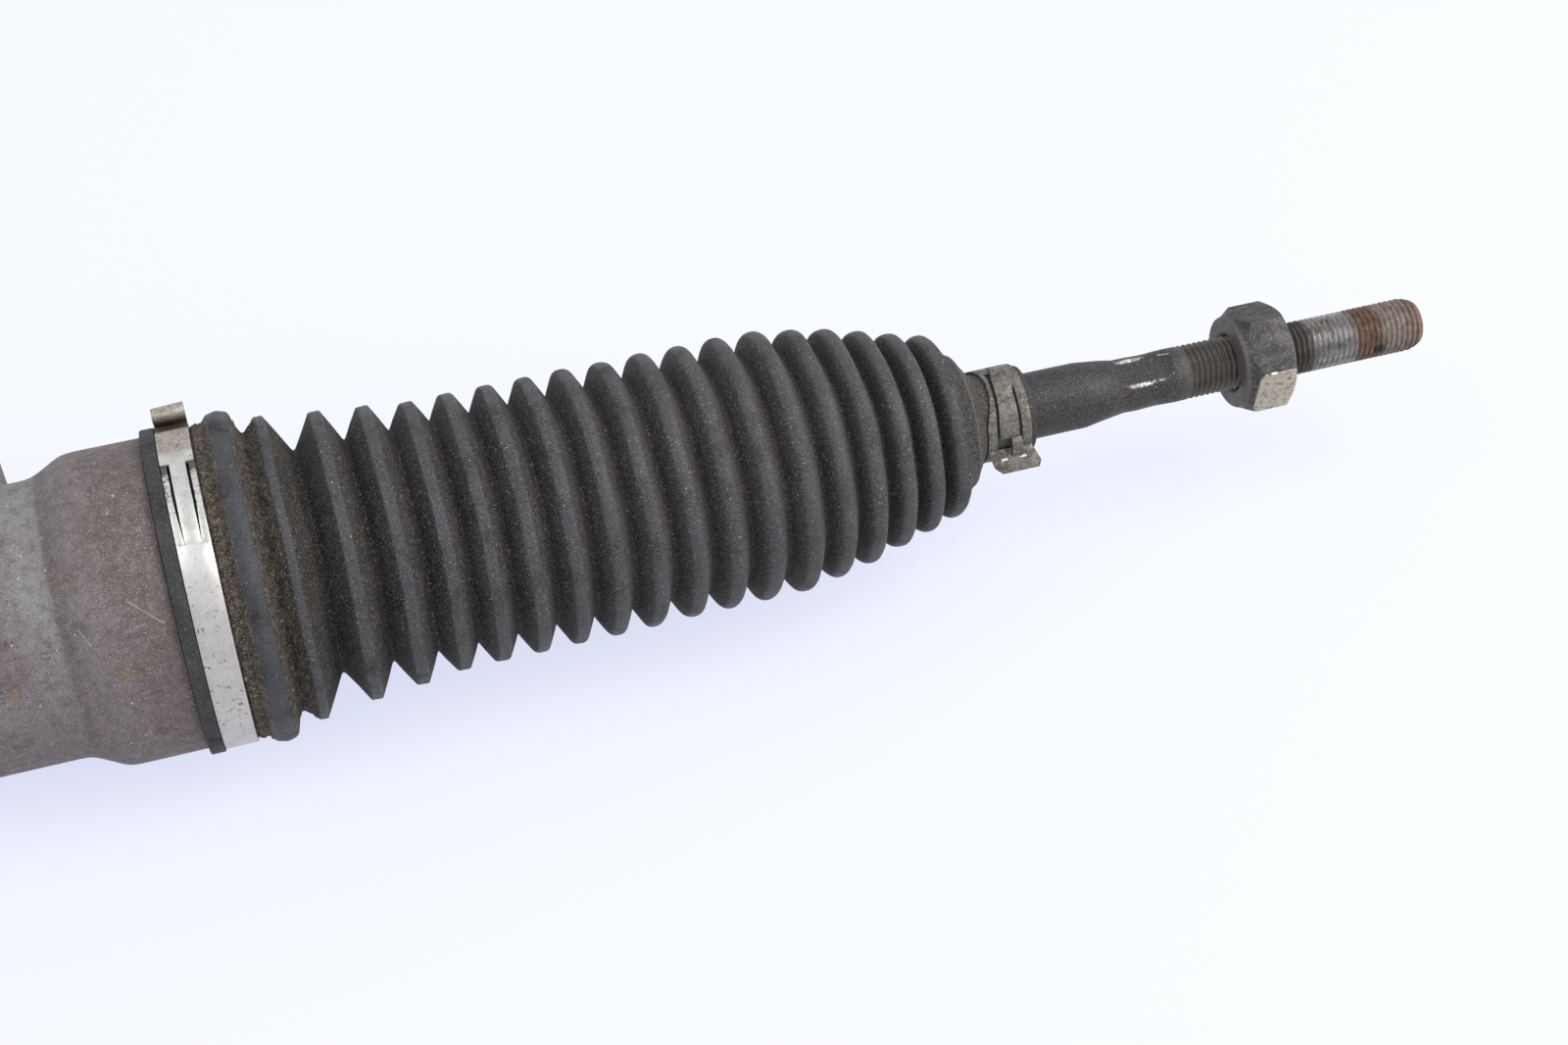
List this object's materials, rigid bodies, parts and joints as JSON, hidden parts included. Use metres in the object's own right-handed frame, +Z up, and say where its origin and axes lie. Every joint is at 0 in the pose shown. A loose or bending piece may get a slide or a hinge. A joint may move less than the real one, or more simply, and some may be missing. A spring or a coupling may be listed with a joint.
{
  "type": "rack and pinion steering gear",
  "caption": "Automotive rack-and-pinion steering gear: cast housing, sliding toothed rack, pinion with input shaft, bellows boots and jointed tie rods.",
  "frame": {"origin": "below the middle of the rack, on the plane that the three mounting sleeves rest on", "axes": "+X along the rack towards the right tie rod, +Y to the rear, where the two rear lugs are, +Z up along the pinion's input shaft"},
  "size_m": [1.2468, 0.15, 0.1155],
  "materials": {
    "cast_aluminium": "sand cast, weathered grey-brown, matte",
    "bare_aluminium": "machined, oiled",
    "ground_steel": "ground and greased",
    "zinc_steel": "dull zinc plate",
    "socket_steel": "black phosphated, greasy",
    "tie_rod_steel": "black phosphated with worn edges and rust on the bare thread",
    "nut_steel": "worn black oxide",
    "band_steel": "stainless strip, satin",
    "clamp_steel": "dull spring steel, dusty",
    "boot_rubber": "matte, sandy dust in the folds",
    "rubber": "matte",
    "black_plastic": "moulded"
  },
  "bodies": {
    "housing": {"rack_housing": "cast_aluminium", "mount_bush_right": "rubber", "mount_bush_left": "rubber", "mount_bush_front": "rubber", "mount_sleeve_right": "zinc_steel", "mount_sleeve_left": "zinc_steel", "mount_sleeve_front": "zinc_steel", "rack_bush": "black_plastic", "rack_stop_ring_right": "rubber", "rack_stop_ring_left": "rubber", "pinion_bearing_outer_ring": "ground_steel", "pinion_needle_bearing": "ground_steel", "pinion_lock_ring": "zinc_steel", "pinion_oil_seal": "rubber", "pinion_dust_cover": "rubber", "pinion_bottom_plug": "zinc_steel", "yoke_plug": "zinc_steel", "yoke_plug_seal": "rubber", "yoke_lock_nut": "zinc_steel", "yoke_spring": "zinc_steel", "boot_right": "boot_rubber", "boot_left": "boot_rubber", "boot_band_right": "band_steel", "boot_band_left": "band_steel"},
    "rack": {"rack_bar": "ground_steel", "lock_washer_right": "zinc_steel", "lock_washer_left": "zinc_steel", "tie_rod_socket_right": "socket_steel", "tie_rod_socket_left": "socket_steel"},
    "pinion": {"pinion_shaft": "ground_steel", "pinion_bearing_inner_ring": "ground_steel", "pinion_snap_ring": "ground_steel"},
    "bearing_cage": {"pinion_bearing_cage": "black_plastic", "pinion_bearing_ball_1": "ground_steel", "pinion_bearing_ball_2": "ground_steel", "pinion_bearing_ball_3": "ground_steel", "pinion_bearing_ball_4": "ground_steel", "pinion_bearing_ball_5": "ground_steel", "pinion_bearing_ball_6": "ground_steel", "pinion_bearing_ball_7": "ground_steel", "pinion_bearing_ball_8": "ground_steel"},
    "yoke": {"yoke": "bare_aluminium", "yoke_liner": "black_plastic"},
    "seat_right": {"ball_seat_right": "black_plastic"},
    "seat_left": {"ball_seat_left": "black_plastic"},
    "rod_right": {"tie_rod_right": "tie_rod_steel", "jam_nut_right": "nut_steel", "boot_clamp_right": "clamp_steel"},
    "rod_left": {"tie_rod_left": "tie_rod_steel", "jam_nut_left": "nut_steel", "boot_clamp_left": "clamp_steel"}
  },
  "joints": [
    {"name": "rack_slide", "type": "slide", "parent": "housing", "child": "rack", "axis": [1, 0, 0], "range_m": [-0.072, 0.072], "deforming": ["boot_right", "boot_left"]},
    {"name": "pinion_turn", "type": "hinge", "parent": "housing", "child": "pinion", "pos_m": [-0.15, 0.0175, 0.0405], "axis": [0, 0, 1], "range_deg": [-516, 516]},
    {"name": "bearing_cage_turn", "type": "hinge", "parent": "housing", "child": "bearing_cage", "pos_m": [-0.15, 0.0175, 0.0405], "axis": [0, 0, 1], "range_deg": [-206, 206]},
    {"name": "yoke_slide", "type": "slide", "parent": "housing", "child": "yoke", "axis": [0, -1, 0], "range_m": [0, 0.0001], "stiffness_N_per_m": 4000},
    {"name": "rod_swing_right", "type": "hinge", "parent": "rack", "child": "seat_right", "pos_m": [0.36, 0, 0.0405], "axis": [0, 0, 1], "range_deg": [-10, 10]},
    {"name": "rod_lift_right", "type": "hinge", "parent": "seat_right", "child": "rod_right", "pos_m": [0.36, 0, 0.0405], "axis": [0, -1, 0], "range_deg": [-6, 15]},
    {"name": "rod_swing_left", "type": "hinge", "parent": "rack", "child": "seat_left", "pos_m": [-0.36, 0, 0.0405], "axis": [0, 0, 1], "range_deg": [-10, 10]},
    {"name": "rod_lift_left", "type": "hinge", "parent": "seat_left", "child": "rod_left", "pos_m": [-0.36, 0, 0.0405], "axis": [0, 1, 0], "range_deg": [-6, 15]}
  ],
  "couplings": [
    {"joint": "pinion_turn", "follows": "rack_slide", "rad_per_m": 125},
    {"joint": "bearing_cage_turn", "follows": "rack_slide", "rad_per_m": 49.7}
  ]
}
